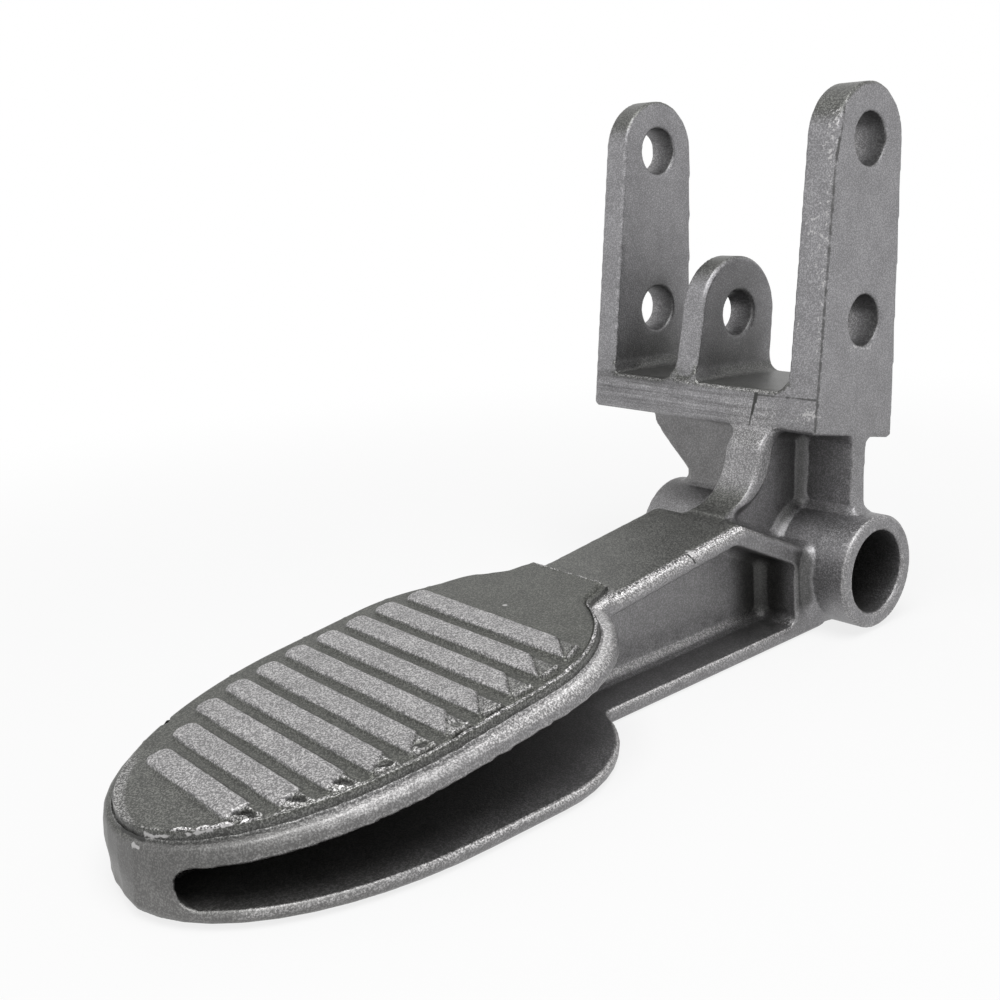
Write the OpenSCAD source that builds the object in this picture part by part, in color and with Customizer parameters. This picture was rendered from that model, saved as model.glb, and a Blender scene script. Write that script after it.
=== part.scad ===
// Foot pedal lever, an as-cast aluminium part.
// Origin: centre line of the pivot bore, in the middle plane of the arm.
// X runs along the bore, -Y points to the toe, Z is up. The sole lies level.
// The casting is drawn as the solids that make it up. They meet face to face.

/* [Pivot tube] */
// Diameter of the pivot bore, a running fit on the machine's shaft
bore_d = 20; // [14:0.5:22]
// Outside diameter of the tube
tube_d = 27.2; // [25:0.2:28]
// Tube end on the left, from the middle plane
tube_left = 39.6; // [36:0.2:45]
// Tube end on the right, from the middle plane
tube_right = 24.3; // [20:0.1:32]

/* [Pad] */
// Sole below the bore centre line
sole_drop = 14.4; // [14.2:0.1:16]
// Half width of the pad
pad_half_w = 33.8; // [32:0.2:38]
// Toe tip, forward of the bore
toe_reach = 182.2; // [176:0.2:192]
// Length of the tapering toe part
toe_len = 52; // [46:1:60]
// Fullness of the toe, 2 being a plain oval
toe_full = 2.1; // [2:0.05:2.5]
// Sideways shift of the toe tip, to the right
toe_skew = 1; // [-2:0.1:2]
// Centre of the round heel, forward of the bore
heel_y = 110.5; // [108:0.5:116]
// How far the upper plate's outline sits behind the lower one's
deck_back = 0.6; // [0:0.1:3]
// Rounding of the upper rim at the sides
rim_r = 3.2; // [1.5:0.1:3.6]
// Rounding of the upper rim at the toe
rim_toe_r = 1; // [0.5:0.1:2]
// Rounding of the lower rim, sideways
sole_rim_w = 2.2; // [1:0.1:4]
// Rounding of the lower rim, upwards
sole_rim_h = 2.4; // [2:0.2:6]
// Rounding of the lower rim at the toe
sole_rim_toe = 4.4; // [0.5:0.1:6]
// How far the lower plate's heel is drawn in
sole_heel_in = 1; // [0:0.1:3]
// Half width of the shoulders where they leave the upper plate
shoulder_half_w = 18.5; // [16.5:0.5:24]
// Half width of the shoulders where they leave the lower plate
shoulder_sole_w = 16; // [15.5:0.5:22]
// Length of the shoulders along the arm
shoulder_len = 8; // [6:0.5:14]
// Thickness of the lower plate
sole_t = 3.4; // [2.5:0.1:4.5]
// Thickness of the upper plate
deck_t = 3.7; // [3.2:0.1:5]
// Wall left at the toe, in front of the side pockets
nose_t = 4.4; // [3:0.1:8]

/* [Arm] */
// Half width of the arm
arm_half_w = 13.4; // [12:0.1:16]
// Height of the arm's top plane above the bore, if carried back to it
top_rise = 22.6; // [21.5:0.1:25]
// Fall of the top towards the toe
tread_angle = 7.4; // [6.6:0.1:8]
// Corner where the top bends down to the tube, forward of the bore
bend_y = 35.4; // [33:0.2:39]
// Slope of the top behind that corner
bend_angle = 26; // [23:0.5:29]
// Thickness of the sloping rib behind the corner
bend_t = 4.4; // [3.5:0.1:5.5]
// Rounding of the arm's upper edge on the left
arm_left_r = 0.6; // [0.3:0.1:2.4]
// Rounding of the arm's upper edge on the right
arm_right_r = 1.6; // [0.3:0.1:2.4]
// Rounding of the arm's lower edges
arm_sole_r = 1.2; // [0.4:0.1:2]
// Thickness of the middle web
web_t = 5; // [3.5:0.1:7]
// Back wall of the side pockets, forward of the bore
pocket_back = 16.7; // [16:0.1:19]
// Corner radius of the side pockets
pocket_r = 2.6; // [1.5:0.1:2.8]
// Radius of the pocket corner under the bend
pocket_bend_r = 6; // [3:0.5:8]
// Back end of the sole, forward of the bore
sole_end = 6; // [5:0.2:8]

/* [Tread] */
// Height of the raised panel over the deck
panel_h = 1.6; // [0.6:0.1:2]
// Rim left bare beside the panel
panel_margin = 3.3; // [3:0.1:6]
// Rim left bare in front of the panel
panel_toe_margin = 2.2; // [1.2:0.1:6]
// Length of the panel's tapering toe part
panel_taper = 50; // [44:0.5:54]
// Fullness of the panel's toe, 2 being a plain oval
panel_full = 2; // [2:0.05:2.5]
// Back edge of the panel on the arm, forward of the bore
panel_back = 75; // [72:0.2:76]
// Edge of the arm left bare beside the panel's tail, on the left
tail_in_left = 0.4; // [0.2:0.1:4]
// Edge of the arm left bare beside the panel's tail, on the right
tail_in_right = 2.6; // [0.2:0.1:4]
// Radius of the hollow corners between panel and tail
panel_tail_r = 6; // [2:0.5:8]
// Height of the bars over the panel
bar_h = 1; // [0.6:0.1:1.6]
// Number of bars
bar_count = 10; // [8:1:10]
// Middle of the bar next to the heel, forward of the bore
bar_first = 100.6; // [97:0.1:101]
// Spacing of the bars
bar_pitch = 7.42; // [6.6:0.02:7.6]
// Width of a bar
bar_w = 5; // [4:0.1:5.8]
// How far the bar ends stay inside the panel's edge
bar_inset = 2; // [1:0.1:4]

/* [Neck] */
// Backward lean of the neck and the ears
lean = 3.45; // [2.6:0.05:4.2]
// Half width of the front flange
flange_half_w = 5.3; // [4.5:0.1:7]
// Thickness of the front flange
flange_t = 5; // [4:0.1:6]
// Radius of the curve from the arm up to the neck
neck_r = 13.2; // [12:0.1:14]
// Centre of that curve, forward of the bore
neck_y = 34.2; // [33:0.1:35]
// Centre of that curve over the bore
neck_z = 29.6; // [28.6:0.1:30.6]
// Thickness of the middle web of the neck
neck_web_t = 5.6; // [4:0.1:7]
// Front of the back web, forward of the bore
back_web_front = 2.2; // [1.5:0.1:3]
// Thickness of the back web
back_web_t = 4.9; // [4:0.1:6]
// Left end of the back web where it leaves the tube
web_left = 32.1; // [29:0.2:35]
// Height at which its left edge starts to flare
flare_z = 15.3; // [14.5:0.1:17]
// Flare angle of the left edge
flare_angle = 45.5; // [42:0.5:46]

/* [Yoke] */
// Outer face of the left ear, from the middle plane
yoke_left = 53.1; // [51.5:0.1:58]
// Outer face of the right ear, from the middle plane
yoke_right = 18; // [16.5:0.1:20]
// Thickness of the left ear
ear_left_t = 6.9; // [5:0.1:8]
// Thickness of the right ear
ear_right_t = 8.6; // [6.5:0.1:9.5]
// Front of the yoke bar, forward of the bore
bar_front = 17.5; // [17:0.1:19]
// Back of the yoke bar, behind the bore
bar_back = 12.9; // [12.4:0.1:15]
// Top of the yoke bar over the bore
floor_z = 43.2; // [42.2:0.2:45]
// Underside of the yoke bar at its front, over the bore
under_front = 34.2; // [33.4:0.1:35.6]
// Underside of the yoke bar at its back, over the bore
under_back = 29.7; // [28.6:0.1:31]
// Diameter of the pin bores
pin_d = 12; // [8:0.5:14]
// Lower pin bores over the pivot bore
pin_low = 58.8; // [57.6:0.2:62]
// Distance between lower and upper pin bores
pin_pitch = 40.3; // [36:0.1:44]
// Radius of the ear tops
ear_r = 12.4; // [11.5:0.1:13.6]
// Root radius beside ears and lug
root_r = 3.6; // [2:0.1:5]

/* [Centre lug] */
// Middle of the lug, left of the middle plane
lug_x = 22.2; // [19:0.1:26]
// Thickness of the lug
lug_t = 6.9; // [5:0.1:8]
// Radius of the lug's round top
lug_r = 14; // [12.5:0.1:14.6]
// Front foot of the lug, forward of the bore
lug_foot = 16.8; // [15.6:0.1:17]

/* [Hidden] */
sole_z = -sole_drop;
sole_top = sole_z + sole_t;
rise = tan(tread_angle);
bend_fall = tan(bend_angle);
bend_z = top_rise - bend_y * rise;
deck_under = top_rise - deck_t / cos(tread_angle);
bend_under = bend_z - bend_t / cos(bend_angle) - bend_y * bend_fall;
pocket_toe = nose_t - toe_reach;
panel_half_w = pad_half_w - panel_margin;
panel_tip = panel_toe_margin + deck_back - toe_reach;
pocket_bend_y = (bend_under - deck_under) / (rise + bend_fall);
ear_top = pin_low + pin_pitch;
ear_left_in = ear_left_t - yoke_left;
ear_right_in = yoke_right - ear_right_t;
lug_left = -lug_x - lug_t / 2;
lug_right = -lug_x + lug_t / 2;
// Reach of the cutting and limiting solids, past every face
reach = 2 * toe_reach;
// How far a bore's cutter stands out at each end
over = 1;
// Thickness of the outlines between which the pad is lofted
skin = 0.02;
// Steps of the rim roundings, in degrees
rim_step = 30;
// Points along a round corner, and along half an oval
corner_n = 8;
oval_n = 24;
fine = 96;

// Which solid to draw

function unit(v) = v / norm(v);
function side_of(p, c, n) = sign((c[0] - p[0]) * (n[1] - c[1]) - (c[1] - p[1]) * (n[0] - c[0]));
function half_angle(u, w) = acos(max(-1, min(1, u * w))) / 2;
// Points on an arc round o, from angle a through the turn t
function arc(o, r, a, t, k) = [for (i = [0 : k]) o + r * [cos(a + t * i / k), sin(a + t * i / k)]];
function fillet(c, u, w, r, s, h) =
    let (o = c + unit(u + w) * r / sin(h), b = c + u * r / tan(h) - o)
    arc(o, r, atan2(b[1], b[0]), s * (180 - 2 * h), corner_n);
function corner(p, c, n, r) =
    let (u = unit(p - c), w = unit(n - c))
    r > 0 ? fillet(c, u, w, r, side_of(p, c, n), half_angle(u, w)) : [c];
// Polygon with its corners rounded, one radius for each corner
function rounded(pts, rs) = let (m = len(pts))
    [for (i = [0 : m - 1]) each corner(pts[(i + m - 1) % m], pts[i], pts[(i + 1) % m], rs[i])];
function power(v, p) = sign(v) * pow(abs(v), p);
// Toe end of an outline, from its left side round the tip to its right
function toe_end(w, tip, len, full) =
    [for (i = [0 : oval_n]) let (t = 180 + 180 * i / oval_n)
        [w * power(cos(t), 2 / full) + toe_skew * pow(sin(t), 2), tip + len + len * power(sin(t), 2 / full)]];

module along_x(x0, x1) {
    translate([x0, 0, 0])
        rotate([90, 0, 90])
            linear_extrude(height = x1 - x0)
                children();
}

module along_y(y0, y1) {
    translate([0, y1, 0])
        rotate([90, 0, 0])
            linear_extrude(height = y1 - y0)
                children();
}

// Places children in the plane of the tread, under the bore's centre line at y = 0
module on_tread() {
    translate([0, 0, top_rise])
        rotate([tread_angle, 0, 0])
            children();
}

module leaning() {
    rotate([-lean, 0, 0])
        children();
}

module bore(d, x0, x1, z) {
    translate([x0 - over, 0, z])
        rotate([0, 90, 0])
            cylinder(d = d, h = x1 - x0 + 2 * over, $fn = fine);
}

module tube_body() {
    translate([-tube_left, 0, 0])
        rotate([0, 90, 0])
            cylinder(d = tube_d, h = tube_left + tube_right, $fn = fine);
}

// Thin slice of the pad's outline, drawn in at the sides, at the toe and at the heel
module pad_slice(side_in, toe_in, heel_in, back, stretch) {
    w = pad_half_w - side_in;
    y = (back - heel_y) * stretch;
    heel = [for (p = arc([0, 0], w, 0, 180, oval_n)) [p[0], y + p[1] * (1 - heel_in / w)]];
    linear_extrude(height = skin)
        polygon(concat(toe_end(w, (back - toe_reach) * stretch + toe_in, toe_len, toe_full), heel));
}

// Thin slice of the shoulders between pad and arm
module shoulder_slice(half_w, side_in, back, stretch) {
    a = half_w - side_in;
    b = arm_half_w - side_in;
    y0 = (sqrt(pad_half_w * pad_half_w - half_w * half_w) - heel_y + back) * stretch;
    linear_extrude(height = skin)
        polygon([[-a, y0], [a, y0], [b, y0 + shoulder_len], [-b, y0 + shoulder_len]]);
}

// Lofts the slices given by a child from the round lower rim to the round upper one
module pad_loft(shoulders) {
    stretch = 1 / cos(tread_angle);
    hull()
        for (a = [0 : rim_step : 90]) {
            draw = 1 - sin(a);
            lift = 1 - cos(a);
            translate([0, 0, sole_z + sole_rim_h * lift])
                if (shoulders)
                    shoulder_slice(shoulder_sole_w, sole_rim_w * draw, 0, 1);
                else
                    pad_slice(sole_rim_w * draw, sole_rim_toe * draw, sole_heel_in, 0, 1);
            on_tread()
                translate([0, 0, -skin - rim_r * lift])
                    if (shoulders)
                        shoulder_slice(shoulder_half_w, rim_r * draw, deck_back, stretch);
                    else
                        pad_slice(rim_r * draw, rim_toe_r * draw, 0, deck_back, stretch);
        }
}

// Side outline of the arm, from under the pad to the tube
module arm_side() {
    front = -heel_y;
    polygon([
        [front, sole_z],
        [-sole_end, sole_z],
        [-sole_end, bend_z - (bend_y - sole_end) * bend_fall],
        [-bend_y, bend_z],
        [front, top_rise + front * rise]
    ]);
}

// Front outline of the arm under a top plane at height 0, with round upper edges
module arm_top_front() {
    w = arm_half_w;
    polygon(rounded([[-w, -reach], [w, -reach], [w, 0], [-w, 0]], [0, 0, arm_right_r, arm_left_r]));
}

// Front outline of the arm above the sole, with round lower edges
module arm_sole_front() {
    w = arm_half_w;
    polygon(rounded([[-w, sole_z], [w, sole_z], [w, reach], [-w, reach]], [arm_sole_r, arm_sole_r, 0, 0]));
}

module arm_body() {
    intersection() {
        along_x(-arm_half_w, arm_half_w)
            arm_side();
        along_y(-reach, reach)
            arm_sole_front();
        on_tread()
            along_y(-reach, reach)
                arm_top_front();
        translate([0, -bend_y, bend_z])
            rotate([-bend_angle, 0, 0])
                along_y(-reach, reach)
                    arm_top_front();
    }
}

// Side outline of the pockets that leave the upper plate, the lower plate and the web
module pocket_side() {
    pts = [
        [pocket_toe, sole_top],
        [-pocket_back, sole_top],
        [-pocket_back, bend_under + pocket_back * bend_fall],
        [pocket_bend_y, deck_under + pocket_bend_y * rise],
        [pocket_toe, deck_under + pocket_toe * rise]
    ];
    polygon(rounded(pts, [pocket_r, pocket_r, pocket_r, pocket_bend_r, pocket_r]));
}

module lever_arm() {
    color("silver")
        difference() {
            union() {
                pad_loft(false);
                pad_loft(true);
                arm_body();
            }
            along_x(web_t / 2, reach)
                pocket_side();
            along_x(-reach, -web_t / 2)
                pocket_side();
            tube_body();
        }
}

// Outline of the panel's pad part, drawn in by an inset
module panel_oval(inset) {
    w = panel_half_w - inset;
    tip = inset + panel_tip / cos(tread_angle);
    polygon(concat(
        toe_end(w, tip, panel_taper, panel_full),
        arc([0, -heel_y / cos(tread_angle)], w, 0, 180, oval_n)
    ));
}

// Tail of the panel on the arm, with hollow corners where it leaves the oval
module panel_tail() {
    heel = -heel_y / cos(tread_angle);
    left = arm_half_w - tail_in_left;
    right = arm_half_w - tail_in_right;
    function hollow(w) = [w + panel_tail_r, sqrt(pow(panel_half_w + panel_tail_r, 2) - pow(w + panel_tail_r, 2))];
    l = hollow(left);
    r = hollow(right);
    l_turn = atan2(l[1], l[0]);
    r_turn = atan2(r[1], r[0]);
    polygon(concat(
        [[0, heel]],
        arc([r[0], heel + r[1]], panel_tail_r, r_turn - 180, -r_turn, corner_n),
        [[right, -panel_back], [-left, -panel_back]],
        arc([-l[0], heel + l[1]], panel_tail_r, 0, -l_turn, corner_n)
    ));
}

module bars() {
    intersection() {
        panel_oval(bar_inset);
        for (i = [0 : bar_count - 1])
            translate([-panel_half_w, -(bar_first / cos(tread_angle)) - i * bar_pitch - bar_w / 2])
                square([2 * panel_half_w, bar_w]);
    }
}

module tread_panel() {
    color("gainsboro")
        on_tread() {
            linear_extrude(height = panel_h) {
                panel_oval(0);
                panel_tail();
            }
            linear_extrude(height = panel_h + bar_h)
                bars();
        }
}

module pivot_tube() {
    color("silver")
        difference() {
            tube_body();
            bore(bore_d, -tube_left, tube_right, 0);
        }
}

// Side outline of the yoke bar
module bar_side() {
    top = floor_z + root_r;
    polygon([[-bar_front, under_front], [bar_back, under_back], [bar_back, top], [-bar_front, top]]);
}

// Side outline of the neck, from its hollow front to a line behind it
module neck_side(back) {
    polygon(concat(
        [[-neck_y, 0]],
        arc([-neck_y, neck_z], neck_r, -90, 90, 2 * corner_n),
        [[-bar_front, under_front], [back, floor_z], [back, 0]]
    ));
}

// Front outline of the back web, flared to the left
module back_web_front_view() {
    polygon([
        [yoke_right, 0],
        [yoke_right, floor_z],
        [-web_left - (floor_z - flare_z) * tan(flare_angle), floor_z],
        [-web_left, flare_z],
        [-web_left, 0]
    ]);
}

module neck() {
    color("silver")
        difference() {
            leaning() {
                along_x(-neck_web_t / 2, neck_web_t / 2)
                    neck_side(-back_web_front);
                along_x(-flange_half_w, flange_half_w)
                    difference() {
                        neck_side(-back_web_front);
                        translate([flange_t, 0])
                            neck_side(reach);
                    }
                along_y(-back_web_front, back_web_t - back_web_front)
                    back_web_front_view();
            }
            leaning()
                along_x(-reach, reach)
                    bar_side();
            along_x(-reach, reach)
                arm_side();
            tube_body();
        }
}

// Front outline of the yoke bar with its root fillets
module bar_front_view() {
    z = floor_z + root_r;
    polygon(concat(
        [[ear_left_in, 0], [ear_right_in, 0]],
        arc([ear_right_in - root_r, z], root_r, 0, -90, corner_n),
        arc([lug_right + root_r, z], root_r, -90, -90, corner_n),
        [[lug_right, floor_z], [lug_left, floor_z]],
        arc([lug_left - root_r, z], root_r, 0, -90, corner_n),
        arc([ear_left_in + root_r, z], root_r, -90, -90, corner_n)
    ));
}

module yoke_bar() {
    color("silver")
        leaning()
            intersection() {
                along_x(ear_left_in, ear_right_in)
                    bar_side();
                along_y(-reach, reach)
                    bar_front_view();
            }
}

// Side outline of an ear, from the underside of the bar to its round top
module ear_side() {
    polygon(concat(
        [[-bar_front, under_front], [bar_back, under_back]],
        arc([0, ear_top], ear_r, 0, 180, oval_n)
    ));
}

module ear(x0, x1) {
    leaning()
        difference() {
            along_x(x0, x1)
                ear_side();
            bore(pin_d, x0, x1, pin_low);
            bore(pin_d, x0, x1, ear_top);
        }
}

module left_ear() {
    color("silver")
        ear(-yoke_left, ear_left_in);
}

module right_ear() {
    color("silver")
        ear(ear_right_in, yoke_right);
}

module centre_lug() {
    color("silver")
        leaning()
            difference() {
                along_x(lug_left, lug_right)
                    polygon(concat(
                        [[-lug_foot, floor_z], [bar_back, floor_z]],
                        arc([0, pin_low], lug_r, 0, 180, oval_n)
                    ));
                bore(pin_d, lug_left, lug_right, pin_low);
            }
}

lever_arm();
tread_panel();
pivot_tube();
neck();
yoke_bar();
left_ear();
right_ear();
centre_lug();
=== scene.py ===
import math

import bpy
import numpy as np
from mathutils import Matrix, Vector
from mathutils.bvhtree import BVHTree
from mathutils.kdtree import KDTree


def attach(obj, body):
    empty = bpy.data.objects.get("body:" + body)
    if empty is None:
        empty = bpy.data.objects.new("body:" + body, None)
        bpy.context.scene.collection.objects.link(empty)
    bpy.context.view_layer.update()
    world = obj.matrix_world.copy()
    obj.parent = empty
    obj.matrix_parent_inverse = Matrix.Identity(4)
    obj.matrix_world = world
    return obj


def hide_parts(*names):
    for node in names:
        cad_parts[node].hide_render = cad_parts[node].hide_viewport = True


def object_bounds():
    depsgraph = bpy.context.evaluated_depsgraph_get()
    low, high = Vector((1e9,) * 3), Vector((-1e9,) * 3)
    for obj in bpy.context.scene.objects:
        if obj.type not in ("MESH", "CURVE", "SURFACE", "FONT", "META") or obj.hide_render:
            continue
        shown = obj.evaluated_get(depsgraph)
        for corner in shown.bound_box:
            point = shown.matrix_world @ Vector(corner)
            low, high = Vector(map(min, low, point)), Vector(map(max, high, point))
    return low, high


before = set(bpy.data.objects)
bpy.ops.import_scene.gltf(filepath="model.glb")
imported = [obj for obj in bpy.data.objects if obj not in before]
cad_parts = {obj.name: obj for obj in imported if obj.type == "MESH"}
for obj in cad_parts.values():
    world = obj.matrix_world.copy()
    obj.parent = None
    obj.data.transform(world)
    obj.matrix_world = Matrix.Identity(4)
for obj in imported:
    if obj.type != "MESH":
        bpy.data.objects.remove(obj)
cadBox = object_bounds()
bpy.context.scene.view_settings.view_transform = "Standard"
print("frame loaded:", ", ".join(sorted(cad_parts)))

mm = 0.001


def deselect():
    bpy.ops.object.select_all(action="DESELECT")


def activate(piece):
    deselect()
    piece.select_set(True)
    bpy.context.view_layer.objects.active = piece


def modify(piece, kind, **values):
    step = piece.modifiers.new(kind.lower(), kind)
    for name, value in values.items():
        setattr(step, name, value)
    activate(piece)
    bpy.ops.object.modifier_apply(modifier=step.name)


def editAll(piece, *steps):
    activate(piece)
    bpy.ops.object.mode_set(mode="EDIT")
    bpy.ops.mesh.select_all(action="SELECT")
    for step in steps:
        step()
    bpy.ops.object.mode_set(mode="OBJECT")


def mergeDoubles():
    bpy.ops.mesh.remove_doubles(threshold=0.001 * mm)


# one mesh from copies of CAD nodes, the nodes themselves stay as they are
def copyNodes(label, names):
    deselect()
    for name in names:
        copied = bpy.data.objects.new(label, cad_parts[name].data.copy())
        copied.data.materials.clear()
        bpy.context.scene.collection.objects.link(copied)
        copied.select_set(True)
        bpy.context.view_layer.objects.active = copied
    bpy.ops.object.join()
    piece = bpy.context.view_layer.objects.active
    piece.name = piece.data.name = label
    editAll(piece, mergeDoubles)
    return piece


def points(piece):
    co = np.zeros(len(piece.data.vertices) * 3)
    piece.data.vertices.foreach_get("co", co)
    return co.reshape(-1, 3)


def movePoints(piece, co):
    piece.data.vertices.foreach_set("co", np.asarray(co, float).ravel())
    piece.data.update()


def normals(piece):
    no = np.zeros(len(piece.data.vertices) * 3)
    piece.data.vertex_normals.foreach_get("vector", no)
    return no.reshape(-1, 3)


def ease(low, high, value):
    t = np.clip((value - low) / (high - low), 0, 1)
    return t * t * (3 - 2 * t)


# green of the surface map where the metal is fully worn, what is above it gleams: a painted highlight, and
# the bright flash at the toe
wearSheenFull = 0.75


# surface map of a piece: red is painted shade by how open it lies, green is bare worn metal
# with painted highlights, blue is the dark casting skin with a painted dark reflection on what faces up,
# and alpha is painted shade by height
def paintMap(piece, openness, wearAndSheen, skin, shade):
    layer = piece.data.color_attributes.new("castMap", "FLOAT_COLOR", "POINT")
    rgba = np.stack([openness, wearSheenFull * wearAndSheen, skin, shade], 1)
    layer.data.foreach_set("color", np.clip(rgba, 0, 1).astype(np.float32).ravel())


def treeOf(piece):
    faces = [tuple(f.vertices) for f in piece.data.polygons]
    return BVHTree.FromPolygons([Vector(p) for p in points(piece)], faces)


# share of the sky that each vertex sees past the piece itself
def seenSky(piece, rays, reach):
    co, no = points(piece), normals(piece)
    tree = treeOf(piece)
    lift = 0.05 * mm
    # the golden angle spreads the rays evenly
    turn = math.pi * (3 - math.sqrt(5))
    free = np.zeros(len(co))
    for i in range(len(co)):
        n = Vector(no[i])
        start = Vector(co[i]) + n * lift
        basis = n.to_track_quat("Z", "Y")
        for k in range(rays):
            r = math.sqrt((k + 0.5) / rays)
            a = turn * k + i
            d = basis @ Vector((r * math.cos(a), r * math.sin(a), math.sqrt(1 - r * r)))
            free[i] += tree.ray_cast(start, d, reach)[0] is None
    return free / rays


# mean of a value over the neighbours, repeated
def spreadOut(piece, value, rounds):
    ends = np.zeros(len(piece.data.edges) * 2, int)
    piece.data.edges.foreach_get("vertices", ends)
    a, b = ends.reshape(-1, 2).T
    size = len(value)
    count = np.bincount(a, minlength=size) + np.bincount(b, minlength=size) + 1
    for _ in range(rounds):
        value = (value + np.bincount(a, value[b], size) + np.bincount(b, value[a], size)) / count
    return value


# camera: found by fitting the casting's edges to the photograph
camera = {
    "lens": 46.69, "sensor": 36, "clip": 0.01,
    "place": (192.27, -251.52, 103.37),
    "right": (0.64768, 0.75858, -0.07112),
    "down": (0.15620, -0.22355, -0.96210),
    "ahead": (-0.74574, 0.61203, -0.26328),
}


def placeCamera():
    bpy.ops.object.camera_add()
    cam = bpy.context.object
    cam.name = "camera"
    cam.data.lens = camera["lens"]
    cam.data.sensor_width = camera["sensor"]
    cam.data.clip_start = camera["clip"]
    axes = Matrix([camera["right"], [-v for v in camera["down"]], [-v for v in camera["ahead"]]]).transposed()
    cam.matrix_world = Matrix.Translation(Vector(camera["place"]) * mm) @ axes.to_4x4()
    bpy.context.scene.camera = cam


placeCamera()
print("camera placed")

# the casting: pad, arm, pivot tube, neck, yoke and ears run into each other with cast fillets
casting = {
    "nodes": ["lever_arm", "pivot_tube", "neck", "yoke_bar", "left_ear", "right_ear", "centre_lug"],
    "coarse": 0.6, "fillet": 1.8, "fine": 0.43, "smooth": 0.5, "settle": 2, "soften": 4, "triangles": 196000,
    "flatNear": 0.12, "flatFar": 0.3,
    "edgeReach": 14, "edgeDepth": 0.16,
    "skyRays": 18, "skyReach": 70, "skySpread": 2,
    "padTop": 22.6, "padSlope": 7.4,
    "armSide": 13.4, "armRound": 3.2, "armSpan": (-80, -75, -36, -30), "armSlack": 0.6, "armLeast": 0.01,
    "toeDraw": 0.85, "toeMiddle": -145, "toeFacing": (-0.648, -0.759),
    "toeLevel": (-4, -10.5), "toeSpan": (0.64, 0.8), "toeFade": (-140, -158),
    # far shoulder: place along the pad and how far it stands out
    "shoulder": (
        (-96, 0), (-92.5, 0.7), (-89.7, 2.2), (-85.6, 5), (-83, 4.6),
        (-80.3, 2.7), (-77.2, 1.9), (-74.5, 0.6), (-70, 0),
    ),
    "shoulderSide": (8, 12.5), "shoulderLevel": (-14, -9),
    # bores drawn in from their mouths: low x, high x, y, z, share at the mouth and lost inside
    "bores": (
        (3, 18, 3.55, 58.8, 0.99, 0.2), (3, 18, 5.97, 99.1, 0.99, 0.2),
        (-25.65, -18.75, 3.55, 58.8, 0.94, 0.2),
        (-53.1, -46.2, 3.55, 58.8, 0.98, 0.2), (-53.1, -46.2, 5.97, 99.1, 0.98, 0.2),
    ),
    "boreGrip": (8, 6.3), "boreSlack": 1,
    # lower left edge of the yoke: side, front, height there and fall towards the back
    "yokeRound": 1.8, "yokeLeft": -53.1, "yokeFront": -17.5, "yokeUnder": (34.2, 0.148),
    "yokeCorner": (-45, 25),
    # fork corners that are tight at the front: middle of the root radius, side and power of the corner
    "forkFloor": 43.2, "forkRound": 3.6, "forkCorners": ((-42.6, -1, 7), (-15.15, -1, 5)),
    "forkFade": (-3, -9), "forkReach": (1.6, 1.1), "forkLeast": 1e-4,
}


# height above the slope of the pad's and the arm's top
def levelOf(y, z):
    return z - casting["padTop"] - y * math.tan(math.radians(casting["padSlope"]))


def shoulderOut(y):
    return np.interp(y, *np.array(casting["shoulder"]).T)


# share by which chosen points beyond a round edge are pulled onto it
def pullOnto(r, qx, qz, chosen):
    far = np.hypot(qx, qz)
    tiny = 1e-6
    return np.where(chosen & (far > r), 1 - r / np.maximum(far, tiny), 0)


# small shapes that the CAD leaves out: far shoulder, rounded edges, drawn toe, fork corners, tapered bores
def drawCasting(piece):
    c = casting
    x, y, z = points(piece).T / mm
    level = levelOf(y, z)
    x = x - shoulderOut(y) * ease(*c["shoulderSide"], -x) * ease(*c["shoulderLevel"], level)
    # near upper edge of the arm
    a0, a1, a2, a3 = c["armSpan"]
    r = np.maximum(c["armRound"] * ease(a0, a1, y) * ease(a3, a2, y), c["armLeast"])
    qx, qz = np.maximum(r - (c["armSide"] - x), 0), np.maximum(r + level, 0)
    onArm = (y > a0) & (y < a3) & (x > 0) & (x < c["armSide"] + c["armSlack"]) & (level < c["armSlack"])
    pull = pullOnto(r, qx, qz, onArm)
    x, z = x - qx * pull, z - qz * pull
    # draft of the toe
    tx, ty = x, y - c["toeMiddle"]
    reach = np.hypot(tx, ty)
    facing = (tx * c["toeFacing"][0] + ty * c["toeFacing"][1]) / np.maximum(reach, 1)
    draw = c["toeDraw"] * ease(*c["toeLevel"], level) * ease(*c["toeSpan"], facing) * ease(*c["toeFade"], y)
    x, y = x - tx / reach * draw, y - ty / reach * draw
    # lower left edge of the yoke
    r = c["yokeRound"]
    under = c["yokeUnder"][0] - c["yokeUnder"][1] * (y - c["yokeFront"])
    qx, qz = np.maximum(r + c["yokeLeft"] - x, 0), np.maximum(under + r - z, 0)
    pull = pullOnto(r, qx, qz, (x < c["yokeCorner"][0]) & (z > c["yokeCorner"][1]))
    x, z = x + qx * pull, z + qz * pull
    # fork corners
    r = c["forkRound"]
    limit = c["forkReach"][0]
    for middle, side, power in c["forkCorners"]:
        u, w = (x - middle) * side / r, (c["forkFloor"] + r - z) / r
        inCorner = (u > 0) & (w > 0) & (u < limit) & (w < limit) & (y < 0)
        u, w = np.maximum(u, c["forkLeast"]), np.maximum(w, c["forkLeast"])
        out = np.hypot(u, w) / (u ** power + w ** power) ** (1 / power) - 1
        out = np.where(inCorner, out, 0) * ease(*c["forkFade"], y) * ease(*c["forkReach"], np.maximum(u, w))
        x, z = x + u * out * side * r, z - w * out * r
    # bores
    slack = c["boreSlack"]
    for low, high, by, bz, mouth, lost in c["bores"]:
        dy, dz = y - by, z - bz
        share = mouth - lost * np.clip((high - x) / (high - low), 0, 1)
        pull = (1 - share) * ease(*c["boreGrip"], np.hypot(dy, dz)) * (x > low - slack) * (x < high + slack)
        y, z = y - dy * pull, z - dz * pull
    movePoints(piece, np.stack([x, y, z], 1) * mm)


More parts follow.
